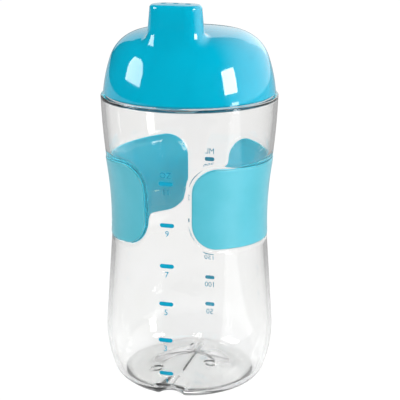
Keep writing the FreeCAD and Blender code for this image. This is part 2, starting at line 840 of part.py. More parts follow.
parts = [
    build_cup_body(),
    build_grip("right_grip", 0.0),
    build_grip("left_grip", 180.0),
    build_lid(),
    build_lid_seal(),
    build_valve_carrier(),
    build_valve(
        "drinking_valve",
        -dim("drink_socket_offset"),
        dim("drink_socket_radius") - dim("carrier_clearance") - dim("carrier_wall")),
    build_valve(
        "vent_valve",
        dim("vent_socket_offset"),
        dim("vent_socket_radius") - dim("carrier_clearance") - dim("carrier_wall")),
]
check_document()
export(parts)
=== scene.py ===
from math import acos, cos, pi, radians, sin, sqrt

import bmesh
import bpy
import numpy as np
from mathutils import Matrix, Vector
from mathutils.geometry import delaunay_2d_cdt


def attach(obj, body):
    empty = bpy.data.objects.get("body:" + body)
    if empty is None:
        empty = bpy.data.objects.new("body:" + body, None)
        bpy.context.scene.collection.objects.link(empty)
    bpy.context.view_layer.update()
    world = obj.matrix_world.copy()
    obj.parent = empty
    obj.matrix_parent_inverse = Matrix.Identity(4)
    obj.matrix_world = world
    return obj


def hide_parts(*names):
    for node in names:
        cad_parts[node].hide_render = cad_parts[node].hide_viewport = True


# A clear sippy cup with two soft grips and a glossy screw lid. The frame is in metres, lengths
# below are in millimetres, and angles run round the axis from +X, so the spout is at -90 degrees.

MM = 0.001
FULL = 2 * pi
QUARTER = pi / 2
FRONT = -QUARTER
BACK = QUARTER

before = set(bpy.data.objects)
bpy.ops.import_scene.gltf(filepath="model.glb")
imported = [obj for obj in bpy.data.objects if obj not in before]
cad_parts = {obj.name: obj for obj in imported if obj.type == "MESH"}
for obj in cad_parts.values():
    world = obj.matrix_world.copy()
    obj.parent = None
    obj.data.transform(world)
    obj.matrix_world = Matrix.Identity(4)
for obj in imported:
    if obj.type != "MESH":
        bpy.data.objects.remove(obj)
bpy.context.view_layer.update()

# Cup: the foot, then a chain of tangent arcs and one taper up to the lip
FOOT_INNER = 22.3
FOOT_OUTER = 24.2
FOOT_CORNER = 10.3
FOOT_CORNER_ANGLE = radians(70.0)
BULGE_HEIGHT = 24.7
BULGE_CROWN = 55.0
TAPER_ANGLE = radians(4.0)
TAPER_TOP = 64.0
WAIST_HOLLOW = 158.0
FLARE_ANGLE = radians(7.9)
SHOULDER_CROWN = 300.0
LIP_HEIGHT = 129.35
LIP_ROUND = 0.6
CUP_WALL = 1.8

# The cup's floor and the drain across its foot
FLOOR_HEIGHT = 3.4
FOOT_RECESS = 1.0
RECESS_FADE = 0.45
RIDGE_RISE = 2.3
RIDGE_REACH = 22.0
RIDGE_ROUND = 0.35
RIDGE_BEAD = (0.3, 0.7)
MOULD_RINGS = ((9.6, 1.3, 2.6), (-12.1, -11.0, 2.6))
MOULD_RING_DEPTH = 0.4
MOULD_RING_WIDTH = 0.55
DRAIN_DEPTH = 1.9
DRAIN_HALF_WIDTH = 6.0
DRAIN_FADE = (radians(50.0), radians(84.0))
BUMP_DEPTH = 2.6

# Neck and thread
LIP_SHELF = 1.3
SHELF_FILLET = 0.8
SHELF_CORNER = 0.5
LIP_LAND = (1.6, 1.2)
NECK_RADIUS = 32.6
NECK_INNER = 30.9
NECK_HEIGHT = 138.0
NECK_FILLET = 0.6
THREAD_DEPTH = 1.2
THREAD_ROOT = 1.6
THREAD_CREST = 0.9
THREAD_LEAD = 6.0
THREAD_TURNS = 0.66
THREAD_RUN_OUT = 0.03
THREAD_START = 132.2
THREAD_STARTS = 2

# Grips
GRIP_RADIUS = 34.5
GRIP_HALF_ANGLE = radians(72.4)
GRIP_TOP = (104.2, 2.1)
GRIP_BOTTOM = (69.2, 1.7)
GRIP_CORNER = 11.0
GRIP_RECESS = 1.6
GRIP_PROUD = 0.25
GRIP_EDGE_ROUND = 0.55
GRIP_SINK = 0.03
GRIP_SWELL = (-0.4, 4.6)
GRIP_HALF_LENGTH = GRIP_RADIUS * GRIP_HALF_ANGLE
GRIP_HALF_HEIGHT = (GRIP_TOP[0] - GRIP_BOTTOM[0]) / 2

# Lid
LID_EDGE = (37.15, 130.4)
LID_FOOT = (36.1, 129.5)
LID_FLANK = 63.2
LID_FLANK_HEIGHT = 124.8
LID_SHOULDER = 16.5
LID_CROWN = 129.7
LID_TOP = 158.1
LID_WALL = 2.0
LID_BORE = 34.2
LID_SEAT = (32.4, 139.7)
LID_CHAMFER = 0.3
PLUG_OUTER = 30.6
PLUG_INNER = 29.4
PLUG_BOTTOM = 134.0
PLUG_CHAMFER = 0.4

# Spout and sockets: sizes are (height, length, width), or (place from the axis, radius)
SPOUT_OFFSET = 20.3
SPOUT_BASE = (150.0, 25.4, 14.6)
SPOUT_TOP = (170.0, 21.7, 12.6)
SPOUT_ROUND = 1.5
SPOUT_CROWN = 0.35
SPOUT_HOLLOW = ((147.0, 13.6, 9.0), (168.2, 17.6, 8.8))
FLARE_SIDE = 3.0
FLARE_FRONT = 7.0
FLARE_BACK = 3.4
FLARE_LIFT = 0.9
FLARE_PULL = 0.42
SIP_HOLE_RADIUS = 1.25
SIP_HOLE_DEPTH = 4.0
SIP_HOLE_SPACING = 5.2
SIP_HOLES = 3
DRINK_SOCKET = (-18.0, 7.6)
VENT_SOCKET = (4.5, 4.4)
VENT_HOLE_RADIUS = 0.8
SOCKET_WALL = 1.5
SOCKET_BOTTOM = 143.6
SOCKET_TOP = 154.6
SOCKET_TUBE_TOP = 156.6
CUT_PAST = 1.0

# Printed scales: each mark and its height, in front in ounces and at the back in millilitres
DASH_HEIGHT = 1.8
FRONT_DASH = 6.2
BACK_DASH = 4.8
LETTER_SIZE = 3.6
LETTER_DROP = 2.0
UNIT_RISE = 5.4
INK_TOP = 0.05
INK_SINK = 0.03
OUNCE_MARKS = {1: 14.0, 3: 29.5, 5: 45.4, 7: 61.8, 9: 79.5, 11: 97.8}
MILLILITRE_MARKS = {50: 20.1, 100: 33.8, 150: 47.9, 200: 62.6, 250: 77.4, 300: 92.0}

# Mesh spacing
CUP_COLUMNS = 216
LID_COLUMNS = 288
TOOL_COLUMNS = 64
HOLE_COLUMNS = 32
PROFILE_STEP = 0.25
DOME_STEP = 0.1
OUTLINE_STEP = 0.6
FILL_STEP = 0.9
THREAD_STEP = 0.2
OFF_AXIS = 0.3
FIRST_RING = 0.8
BAND_BELOW = 5.0
BAND_ABOVE = 4.0
OUTER_FINE = (0.3, 18.0, 0.6)
INNER_FINE_FROM = 16.0
MERGE_GAP = 0.001


# ---- small tools

def smooth(value, low, high):
    """An S-curve from 0 at low to 1 at high, and level beyond them."""
    share = np.clip((value - low) / (high - low), 0.0, 1.0)
    return share * share * (3.0 - 2.0 * share)


def add_object(name, data):
    """A new object in the scene."""
    made = bpy.data.objects.new(name, data)
    bpy.context.scene.collection.objects.link(made)
    return made


def new_piece(name, skin, scale=MM):
    """A smooth-shaded mesh object from a skin in millimetres."""
    mesh = bpy.data.meshes.new(name)
    mesh.from_pydata([tuple(p) for p in np.asarray(skin.points) * scale], [], skin.faces)
    mesh.validate()
    mesh.shade_smooth()
    return add_object(name, mesh)


def shade_by_angle(piece, degrees):
    """Smooth shading that keeps edges sharper than an angle crisp."""
    piece.data.set_sharp_from_angle(angle=radians(degrees))
    return piece


def evaluated_mesh(piece):
    """A new mesh of an object as it is with its modifiers."""
    graph = bpy.context.evaluated_depsgraph_get()
    return bpy.data.meshes.new_from_object(piece.evaluated_get(graph))


def combine(piece, tool, operation):
    """Joins a tool's solid to a piece, or cuts it away, and removes the tool."""
    modifier = piece.modifiers.new("combine", "BOOLEAN")
    modifier.operation = operation
    modifier.solver = "EXACT"
    modifier.object = tool
    done = evaluated_mesh(piece)
    piece.modifiers.clear()
    piece.data = done
    bpy.data.objects.remove(tool)


def tidy_mesh(piece, gap):
    """Merges points closer than a gap and drops faces without area."""
    net = bmesh.new()
    net.from_mesh(piece.data)
    bmesh.ops.remove_doubles(net, verts=net.verts, dist=gap)
    bmesh.ops.triangulate(net, faces=net.faces)
    bmesh.ops.dissolve_degenerate(net, edges=net.edges, dist=gap)
    bmesh.ops.triangulate(net, faces=[face for face in net.faces if len(face.verts) > 3])
    net.to_mesh(piece.data)
    net.free()


def ring(angles, radius, level):
    """Points round the axis at a radius and a height, each either one number or one per angle."""
    angles, radius, level = np.broadcast_arrays(angles, radius, level)
    return np.stack([radius * np.cos(angles), radius * np.sin(angles), level], axis=-1)


def path_rings(angles, path):
    """Rings at each radius and height of a path."""
    return [ring(angles, *point) for point in path]


def arc_rings(angles, centre, size, start, end, count):
    """Rings along part of a circle in the section, from one direction in degrees to another."""
    turns = np.radians(np.linspace(start, end, count))
    return path_rings(angles, [centre + size * direction(turn) for turn in turns])


class Skin:
    """A growing mesh: points and faces, with rings joined as they are added."""

    def __init__(self):
        self.points = []
        self.faces = []

    def add_points(self, points):
        """Adds points and returns the first one's index."""
        first = len(self.points)
        self.points.extend(np.asarray(points, float).tolist())
        return first

    def add_rings(self, rings, below=None):
        """Adds rings and joins each to the one before. Returns the last ring's first index."""
        for points in rings:
            above = self.add_points(points)
            for i in range(len(points) if below is not None else 0):
                j = (i + 1) % len(points)
                self.faces.append((below + i, below + j, above + j, above + i))
            below = above
        return below

    def close(self, first, count, point, upwards):
        """Closes a ring with a fan to a point."""
        tip = self.add_points([point])
        for i in range(count):
            face = (first + i, first + (i + 1) % count, tip)
            self.faces.append(face if upwards else face[::-1])


def direction(angle):
    return np.array([cos(angle), sin(angle)])


def outward(heading):
    """The outward normal of a section that runs in a heading."""
    return np.array([sin(heading), -cos(heading)])


class Section:
    """A half section of the cup or lid: rows of radius, height and more, addressed by length."""

    def __init__(self, rows):
        self.rows = np.array(rows)
        gaps = np.hypot(*np.diff(self.rows[:, :2], axis=0).T)
        self.lengths = np.concatenate([[0.0], np.cumsum(gaps)])

    def at(self, length):
        """The values of a row at lengths along the section."""
        return [np.interp(length, self.lengths, column) for column in self.rows.T]

    def length_at_radius(self, radius):
        return np.interp(radius, self.rows[:, 0], self.lengths)

    def length_at(self, height):
        return np.interp(height, self.rows[:, 1], self.lengths)


def chain(stretches, place, heading):
    """A section from stretches, each an arc's radius and angle, or None and the height that a
    straight one ends at. Its rows are radius, height, outward normal and heading."""
    rows = []
    place = np.array(place, float)
    for radius, extent in stretches:
        out = outward(heading)
        if radius is None:
            ahead = direction(heading)
            run = (extent - place[1]) / ahead[1]
            for share in np.linspace(0.0, 1.0, max(2, int(run / PROFILE_STEP)), endpoint=False):
                rows.append((*(place + ahead * run * share), *out, heading))
            place = place + ahead * run
            continue
        centre = place - out * radius
        count = max(3, int(abs(radius * extent) / PROFILE_STEP))
        for share in np.linspace(0.0, 1.0, count, endpoint=False):
            angle = heading + extent * share
            rows.append((*(centre + outward(angle) * radius), *outward(angle), angle))
        heading += extent
        place = centre + outward(heading) * radius
    return Section(rows + [(*place, *outward(heading), heading)])


def cup_section():
    corner_rise = FOOT_CORNER * (1.0 - cos(FOOT_CORNER_ANGLE))
    flank = (BULGE_HEIGHT - corner_rise) / cos(FOOT_CORNER_ANGLE)
    stretches = [
        (FOOT_CORNER, FOOT_CORNER_ANGLE),
        (flank, QUARTER - FOOT_CORNER_ANGLE),
        (BULGE_CROWN, TAPER_ANGLE),
        (None, TAPER_TOP),
        (-WAIST_HOLLOW, -TAPER_ANGLE - FLARE_ANGLE),
    ]
    foot = (FOOT_OUTER, 0.0)
    heading = QUARTER - FLARE_ANGLE
    flare_start = chain(stretches, foot, 0.0).rows[-1, 1]
    centre_height = flare_start + cos(heading) * SHOULDER_CROWN
    last = acos((centre_height - LIP_HEIGHT) / SHOULDER_CROWN) - heading
    return chain(stretches + [(SHOULDER_CROWN, last)], foot, 0.0)


CUP = cup_section()
LIP_LENGTH = CUP.length_at(LIP_HEIGHT - LIP_ROUND)
SHELF_HEIGHT = LIP_HEIGHT - LIP_SHELF


def wall_ring(angles, length, inset):
    """Points on the cup's outer wall at lengths along its section, moved inwards by an inset."""
    radius, level, out_radius, out_level, _ = CUP.at(length)
    return ring(angles, radius - out_radius * inset, level - out_level * inset)


def on_wall(angles, height, inset):
    return wall_ring(angles, CUP.length_at(height), inset)


# ---- grip outline

def grip_edges(along):
    """Heights of a grip's top and bottom edges at distances along the wall from its middle."""
    half = GRIP_RADIUS * sin(GRIP_HALF_ANGLE)
    across = GRIP_RADIUS * np.sin(np.asarray(along) / GRIP_RADIUS)
    bow = (across / half) ** 2
    top = GRIP_TOP[0] - GRIP_TOP[1] * (1.0 - bow)
    bottom = GRIP_BOTTOM[0] - GRIP_BOTTOM[1] * (1.0 - bow)
    return top, bottom


def grip_outline(inset):
    """Points round a grip's outline, moved inwards: (distance along the wall, height)."""
    corner = GRIP_CORNER - inset
    reach = np.array([GRIP_HALF_LENGTH, GRIP_HALF_HEIGHT]) - GRIP_CORNER
    corner_steps = int(GRIP_CORNER * QUARTER / OUTLINE_STEP)
    corners = [reach * side for side in ((1, 1), (-1, 1), (-1, -1), (1, -1))]
    points = []
    for i, centre in enumerate(corners):
        turn = (i + 1) * QUARTER
        for angle in np.linspace(i * QUARTER, turn, corner_steps, endpoint=False):
            points.append(centre + corner * direction(angle))
        run = corners[(i + 1) % 4] - centre
        steps = int(np.abs(run).max() / OUTLINE_STEP)
        for share in np.linspace(0.0, 1.0, steps, endpoint=False):
            points.append(corner * direction(turn) + centre + run * share)
    along, up = np.array(points).T
    top, bottom = grip_edges(along)
    share = (up + GRIP_HALF_HEIGHT) / (2 * GRIP_HALF_HEIGHT)
    return np.column_stack([along, bottom + (top - bottom) * share])


def grip_depth(angle, height, border):
    """How far a place on the wall is inside the nearer grip's outline, grown by a border."""
    turned = np.mod(angle + QUARTER, pi) - QUARTER
    along = np.abs(turned) * GRIP_RADIUS
    top, bottom = grip_edges(along)
    up = np.abs((height - bottom) / (top - bottom) * 2.0 - 1.0) * GRIP_HALF_HEIGHT
    corner = GRIP_CORNER + border
    x = along - (GRIP_HALF_LENGTH + border - corner)
    y = up - (GRIP_HALF_HEIGHT + border - corner)
    outside = np.hypot(np.maximum(x, 0.0), np.maximum(y, 0.0))
    inside = np.minimum(np.maximum(x, y), 0.0)
    return corner - outside - inside


# ---- cup

def drain_share(across, half_width, heading):
    """The share of the drain's depth at a place on the foot. The drain runs from front to back
    and fades out as the foot's corner turns upright."""
    width = np.clip(1.0 - (across / half_width) ** 2, 0.0, 1.0)
    return width * (1.0 - smooth(heading, *DRAIN_FADE))


def thread_rings(angles, base, depth, phase):
    """Rings of a threaded wall. The depth is negative for ridges that face the axis."""
    slope = (THREAD_ROOT - THREAD_CREST) / 2
    low = THREAD_START - THREAD_ROOT
    high = THREAD_START + THREAD_LEAD * THREAD_TURNS + THREAD_ROOT
    rings = []
    for level in np.arange(low, high, THREAD_STEP):
        rise = 0.0
        for start in range(THREAD_STARTS):
            turns = np.mod(angles - phase - start * FULL / THREAD_STARTS, FULL) / FULL
            away = np.abs(level - THREAD_START - turns * THREAD_LEAD)
            height = np.clip((THREAD_ROOT / 2 - away) / slope, 0.0, 1.0)
            fade_in = smooth(turns, 0.0, THREAD_RUN_OUT)
            fade_out = 1.0 - smooth(turns, THREAD_TURNS - THREAD_RUN_OUT, THREAD_TURNS)
            rise = np.maximum(rise, height * (fade_in * fade_out))
        rings.append(ring(angles, base + depth * rise, level))
    return rings


def floor_level(x, y):
    """Height of the cup's inner floor: a low ridge with a bead along its crest, from front to
    back, and two mould rings."""
    level = FLOOR_HEIGHT + RIDGE_RISE * np.clip(
        1.0 - np.sqrt(x ** 2 + RIDGE_ROUND ** 2) / RIDGE_REACH, 0.0, 1.0)
    level = level + RIDGE_BEAD[0] * np.exp(-(x / RIDGE_BEAD[1]) ** 2)
    for mark_x, mark_y, mark_radius in MOULD_RINGS:
        away = np.abs(np.hypot(x - mark_x, y - mark_y) - mark_radius)
        level = level - MOULD_RING_DEPTH * np.exp(-(away / MOULD_RING_WIDTH) ** 2)
    return level


def under_rings(angles):
    """Rings of the cup's underside, from its middle to the foot's outer edge."""
    rings = []
    for radius in np.linspace(FIRST_RING, FOOT_OUTER, 34)[:-1]:
        across = radius * np.cos(angles)
        lift = 1.0 - smooth(radius, RECESS_FADE * FOOT_INNER, FOOT_INNER)
        roof = RIDGE_RISE * np.clip(1.0 - np.abs(across) / RIDGE_REACH, 0.0, 1.0)
        drain = DRAIN_DEPTH * drain_share(across, DRAIN_HALF_WIDTH, 0.0)
        rings.append(ring(angles, radius, np.maximum((FOOT_RECESS + roof) * lift, drain)))
    return rings


def outer_rings(angles, lengths):
    """Rings of the cup's outer skin at lengths along its section, with the drain cut into it."""
    rings = []
    for length in lengths:
        radius, *_, heading = CUP.at(length)
        depth = DRAIN_DEPTH * drain_share(radius * np.cos(angles), DRAIN_HALF_WIDTH, heading)
        rings.append(wall_ring(angles, length, depth))
    return rings


def neck_rings(angles):
    """Rings from the lip over the shelf, up the threaded neck, over its rim and back down."""
    radius, level, *_ = CUP.at(LIP_LENGTH)
    rings = arc_rings(angles, (radius - LIP_ROUND, level), LIP_ROUND, 22.5, 90.0, 4)
    rings += path_rings(angles, [(radius - LIP_LAND[0], LIP_HEIGHT),
                                 (NECK_RADIUS + LIP_LAND[1], LIP_HEIGHT)])
    centre = (NECK_RADIUS + NECK_FILLET, LIP_HEIGHT + NECK_FILLET)
    rings += arc_rings(angles, centre, NECK_FILLET, 270.0, 180.0, 5)
    rings += thread_rings(angles, NECK_RADIUS, THREAD_DEPTH, 0.0)
    half = (NECK_RADIUS - NECK_INNER) / 2
    rings += arc_rings(angles, (NECK_INNER + half, NECK_HEIGHT - half), half, 0.0, 180.0, 11)
    fillet_top = SHELF_HEIGHT + SHELF_FILLET
    rings += path_rings(angles, [(NECK_INNER, height)
                                 for height in np.linspace(NECK_HEIGHT - 2.0, fillet_top, 6)])
    centre = (NECK_INNER + SHELF_FILLET, fillet_top)
    rings += arc_rings(angles, centre, SHELF_FILLET, 198.0, 270.0, 5)
    inner = CUP.at(CUP.length_at(SHELF_HEIGHT))[0] - CUP_WALL
    centre = (inner - SHELF_CORNER, SHELF_HEIGHT - SHELF_CORNER)
    return rings + arc_rings(angles, centre, SHELF_CORNER, 90.0, 0.0, 7)


def inner_rings(angles):
    """Rings of the cup's inner skin down to the middle of its floor, with its swellings behind
    the grips and over the drain."""
    rings = []
    high = CUP.length_at(SHELF_HEIGHT - 1.2)
    crease = CUP.length_at(0.9)
    lengths = np.concatenate([np.arange(high, INNER_FINE_FROM, -1.1),
                              np.arange(INNER_FINE_FROM, crease, -0.35)])
    for length in lengths:
        radius, level, *_, heading = CUP.at(length)
        swell = GRIP_RECESS * smooth(grip_depth(angles, level, CUP_WALL), *GRIP_SWELL)
        bump = BUMP_DEPTH * drain_share(
            radius * np.cos(angles), DRAIN_HALF_WIDTH + CUP_WALL, heading)
        wall = wall_ring(angles, length, CUP_WALL + swell + bump)
        wall[:, 2] = np.maximum(wall[:, 2], floor_level(wall[:, 0], wall[:, 1]))
        rings.append(wall)
    edge = float(np.hypot(*rings[-1][0, :2]))
    for radius in np.linspace(edge - 0.5, FIRST_RING, 64):
        flat = ring(angles, radius, 0.0)
        flat[:, 2] = floor_level(flat[:, 0], flat[:, 1])
        rings.append(flat)
    return rings


def grip_band(skin, angles, low_first, low, high):
    """The band of outer wall with the grips' pockets, whose mesh follows their outlines. Returns
    the first index of its top ring."""
    count = len(angles)
    start = angles[0]
    scale = GRIP_RADIUS
    rows = np.linspace(low, high, int((high - low) / FILL_STEP) + 1)
    columns = np.append(angles, start + FULL)
    places = []
    for height in rows:
        for angle in columns:
            on_border = height in (rows[0], rows[-1]) or angle in (columns[0], columns[-1])
            if on_border or abs(grip_depth(angle, height, 0.0)) > FILL_STEP / 2:
                places.append((angle, height))
    grid_count = len(places)
    edges = []
    for middle in (0.0, pi):
        outline = grip_outline(0.0)
        first = len(places)
        turn = np.mod(outline[:, 0] / scale + middle - start, FULL) + start
        places += list(zip(turn, outline[:, 1]))
        edges += [(first + i, first + (i + 1) % len(outline)) for i in range(len(outline))]
    flat = [Vector((angle * scale, height)) for angle, height in places]
    verts, _, triangles, sources, *_ = delaunay_2d_cdt(flat, edges, [], 0, 1e-6)
    spots = np.array([(vert.x / scale, vert.y) for vert in verts])
    on_outline = [any(source >= grid_count for source in origin) for origin in sources]
    high_first = skin.add_points(on_wall(angles, high, 0.0))
    surface, pocket = {}, {}

    def surface_index(vert):
        """The skin's own index of a vertex on the outer wall, whose ends meet at a seam."""
        angle, height = spots[vert]
        column = (angle - start) / FULL * count
        for level, first in ((low, low_first), (high, high_first)):
            if abs(height - level) < 1e-3:
                return first + round(column) % count
        on_seam = min(column, count - column) < 1e-2
        key = ("seam", round(height, 2)) if on_seam else vert
        if key not in surface:
            place = on_wall(start if on_seam else angle, height, 0.0)
            surface[key] = skin.add_points([place])
        return surface[key]

    def pocket_index(vert):
        """The skin's own index of a vertex on a pocket's floor."""
        if vert not in pocket:
            pocket[vert] = skin.add_points([on_wall(*spots[vert], GRIP_RECESS)])
        return pocket[vert]

    for triangle in triangles:
        if grip_depth(*spots[list(triangle)].mean(axis=0), 0.0) <= 0.0:
            skin.faces.append(tuple(surface_index(vert) for vert in triangle))
            continue
        skin.faces.append(tuple(pocket_index(vert) for vert in triangle))
        for a, b in zip(triangle, triangle[1:] + triangle[:1]):
            away = abs(grip_depth(*(spots[a] + spots[b]) / 2, 0.0))
            if on_outline[a] and on_outline[b] and away < 0.02:
                skin.faces.append((surface_index(a), surface_index(b),
                                   pocket_index(b), pocket_index(a)))
    return high_first


def make_cup():
    """The clear cup as one closed skin, inside and out."""
    angles = FRONT + np.arange(CUP_COLUMNS) * FULL / CUP_COLUMNS
    low, high = GRIP_BOTTOM[0] - BAND_BELOW, GRIP_TOP[0] + BAND_ABOVE
    skin = Skin()
    below = skin.add_rings(under_rings(angles))
    skin.close(0, CUP_COLUMNS, (0, 0, FOOT_RECESS + RIDGE_RISE), False)
    foot = np.arange(*OUTER_FINE)
    bulge = np.linspace(OUTER_FINE[1], CUP.length_at(low), 40)
    below = skin.add_rings(outer_rings(angles, np.concatenate([foot, bulge])), below)
    below = grip_band(skin, angles, below, low, high)
    above = np.linspace(CUP.length_at(high), LIP_LENGTH, 22)[1:]
    below = skin.add_rings(outer_rings(angles, above), below)
    below = skin.add_rings(neck_rings(angles), below)
    below = skin.add_rings(inner_rings(angles), below)
    skin.close(below, CUP_COLUMNS, (0, 0, floor_level(0.0, 0.0)), True)
    return shade_by_angle(new_piece("clear_cup", skin), 40.0)


# ---- grips

def cap_grip(skin, middle, border, inset, first, outwards):
    """Fills a grip's outline, whose points are in the skin, with a face that follows the wall."""
    outline = grip_outline(border)
    count = len(outline)
    grid = [Vector((along, height))
            for along in np.arange(-GRIP_HALF_LENGTH, GRIP_HALF_LENGTH, FILL_STEP)
            for height in np.arange(GRIP_BOTTOM[0] - 2.0, GRIP_TOP[0], FILL_STEP)
            if grip_depth(along / GRIP_RADIUS, height, -border) > 0.5]
    flat = [Vector(place) for place in outline] + grid
    edges = [(i, (i + 1) % count) for i in range(count)]
    verts, _, triangles, sources, *_ = delaunay_2d_cdt(flat, edges, [], 1, 1e-6)
    indices = []
    for vert, origin in zip(verts, sources):
        outline_places = [i for i in origin if i < count]
        if outline_places:
            indices.append(first + outline_places[0])
        else:
            angle = vert.x / GRIP_RADIUS + middle
            indices.append(skin.add_points([on_wall(angle, vert.y, inset)]))
    for triangle in triangles:
        face = tuple(indices[vert] for vert in triangle)
        skin.faces.append(face if outwards else face[::-1])


def make_grip(name, middle):
    """A soft pad let into the cup's wall, with rounded edges. The faces that are bonded to the
    cup take its second material, a copy of the rubber painted lighter as painted light."""
    face = -GRIP_PROUD
    loops = [(-GRIP_SINK, GRIP_RECESS + GRIP_SINK), (-GRIP_SINK, GRIP_EDGE_ROUND + face)]
    for turn in np.linspace(0.2, 1.0, 5) * QUARTER:
        loops.append((GRIP_EDGE_ROUND * (1.0 - cos(turn)) - GRIP_SINK,
                      face + GRIP_EDGE_ROUND * (1.0 - sin(turn))))
    skin = Skin()
    rings = []
    for border, inset in loops:
        along, height = grip_outline(border).T
        rings.append(on_wall(along / GRIP_RADIUS + middle, height, inset))
    last = skin.add_rings(rings)
    side_end = len(rings[0])
    cap_grip(skin, middle, *loops[-1], last, True)
    face_end = len(skin.faces)
    cap_grip(skin, middle, *loops[0], 0, False)
    grip = new_piece(name, skin)
    for index, polygon in enumerate(grip.data.polygons):
        polygon.material_index = int(index < side_end or index >= face_end)
    return shade_by_angle(grip, 50.0)


# ---- printed scales

def print_flat(skin, middle, height, flat_points, flat_faces):
    """Adds a thin solid of ink on the wall, from flat faces about a middle and a height."""
    flat_points = np.asarray(flat_points, float)
    count = len(flat_points)
    first = len(skin.points)
    for inset in (-INK_TOP, INK_SINK):
        radius = CUP.at(CUP.length_at(height + flat_points[:, 1]))[0]
        angles = middle + flat_points[:, 0] / radius
        skin.add_points(on_wall(angles, height + flat_points[:, 1], inset))
    edges = {}
    for face in flat_faces:
        skin.faces.append(tuple(first + i for i in face))
        skin.faces.append(tuple(first + count + i for i in reversed(face)))
        edges.update(((a, b), None) for a, b in zip(face, face[1:] + face[:1]))
    for a, b in edges:
        if (b, a) not in edges:
            skin.faces.append((first + b, first + a, first + count + a, first + count + b))


def printed(name, middle, marks, dash_length, unit):
    """A printed scale: a dash and a number for each mark, and the unit above the highest."""
    skin = Skin()
    for mark, height in marks.items():
        print_flat(skin, middle, height, *dash(dash_length))
        print_flat(skin, middle, height - LETTER_DROP, *lettering(str(mark)))
    print_flat(skin, middle, max(marks.values()) + UNIT_RISE, *lettering(unit))
    return shade_by_angle(new_piece(name, skin), 30.0)


def dash(length):
    """A rounded bar's points and triangles, centred on its mark."""
    half = length / 2 - DASH_HEIGHT / 2
    points = [(0.0, 0.0)]
    for side in (1, -1):
        for turn in np.linspace(-QUARTER, QUARTER, 9):
            points.append((side * (half + DASH_HEIGHT / 2 * cos(turn)),
                           side * DASH_HEIGHT / 2 * sin(turn)))
        across = np.linspace(half, -half, 9)[1:-1] * side
        points += [(x, side * DASH_HEIGHT / 2) for x in across]
    rim = len(points) - 1
    return points, [(0, 1 + i, 1 + (i + 1) % rim) for i in range(rim)]


def lettering(text):
    """Flat letters' points and triangles, with their middle top at the origin."""
    curve = bpy.data.curves.new(text, "FONT")
    curve.body = text
    curve.align_x = "CENTER"
    curve.align_y = "TOP"
    curve.size = LETTER_SIZE
    curve.resolution_u = 3
    holder = add_object(text, curve)
    mesh = evaluated_mesh(holder)
    mesh.calc_loop_triangles()
    points = [vertex.co[:2] for vertex in mesh.vertices]
    faces = [tuple(triangle.vertices) for triangle in mesh.loop_triangles]
    bpy.data.objects.remove(holder)
    bpy.data.curves.remove(curve)
    bpy.data.meshes.remove(mesh)
    return points, faces


# ---- lid

def lid_arcs(wall):
    """Centres and radii of the lid's flank, shoulder and crown, moved inwards by a wall."""
    rise = LID_EDGE[1] - LID_FLANK_HEIGHT
    flank = np.array([LID_EDGE[0] - sqrt(LID_FLANK ** 2 - rise ** 2), LID_FLANK_HEIGHT])
    crown = np.array([0.0, LID_TOP - LID_CROWN])
    gap = crown - flank
    far = np.hypot(*gap)
    along = gap / far
    from_flank = LID_FLANK - LID_SHOULDER
    from_crown = LID_CROWN - LID_SHOULDER
    reach = (from_flank ** 2 - from_crown ** 2 + far ** 2) / (2 * far)
    lift = sqrt(from_flank ** 2 - reach ** 2)
    shoulder = flank + along * reach + np.array([-along[1], along[0]]) * lift
    return [(flank, LID_FLANK - wall), (shoulder, LID_SHOULDER - wall), (crown, LID_CROWN - wall)]


def dome_section(wall, outer_radius):
    """The lid's domed skin, from its pole out to a radius and moved inwards by a wall."""
    flank, shoulder, crown = lid_arcs(wall)
    joints = []
    for centre, radius in (crown, flank):
        away = shoulder[0] - centre
        joints.append(centre + away / np.hypot(*away) * radius)
    crown_end, shoulder_end = joints
    parts = []
    for centre, radius in (crown, shoulder, flank):
        turns = np.linspace(QUARTER, -0.2, int(radius * 1.8 / DOME_STEP))
        parts.append(np.array([centre + radius * direction(turn) for turn in turns]))
    over, bend, down = parts
    rows = np.vstack([
        over[(over[:, 0] >= 0.0) & (over[:, 0] <= crown_end[0])],
        bend[(bend[:, 0] > crown_end[0]) & (bend[:, 0] <= shoulder_end[0])],
        down[(down[:, 1] < shoulder_end[1]) & (down[:, 1] > LID_EDGE[1])],
    ])
    rows = rows[rows[:, 0] <= outer_radius]
    return Section(np.vstack([rows, LID_EDGE]) if outer_radius == LID_EDGE[0] else rows)


def roll(dome, flat):
    """Points on the dome for places on the disc that it unrolls to."""
    length = np.hypot(*flat.T)
    radius, height = dome.at(length)
    return np.column_stack([flat * (radius / np.maximum(length, 1e-9))[:, None], height])


def unroll(dome, plan):
    """The places on the unrolled disc of points of the dome, given in plan."""
    radius = np.hypot(*plan.T)
    return plan * (dome.length_at_radius(radius) / np.maximum(radius, 1e-9))[:, None]


def unit_rows(rows):
    """Rows scaled to a length of one."""
    return rows / np.linalg.norm(rows, axis=1)[:, None]


def slot_columns(directions, half_run, radius):
    """Where rays from a slot's middle leave it: the share along its middle line, and the
    outward normal."""
    x, y = directions.T
    none = np.zeros(len(x))
    across = x * (radius / np.maximum(np.abs(y), 1e-9))
    on_straight = np.abs(across) <= half_run
    side = np.copysign(1.0, x)
    along = side * half_run * x
    away = along + np.sqrt(np.maximum(along ** 2 - half_run ** 2 + radius ** 2, 0.0))
    out = directions * away[:, None] - np.column_stack([side * half_run, none])
    up = np.column_stack([none, np.copysign(1.0, y)])
    shares = np.where(on_straight, across / half_run, side)
    return shares, np.where(on_straight[:, None], up, unit_rows(out))


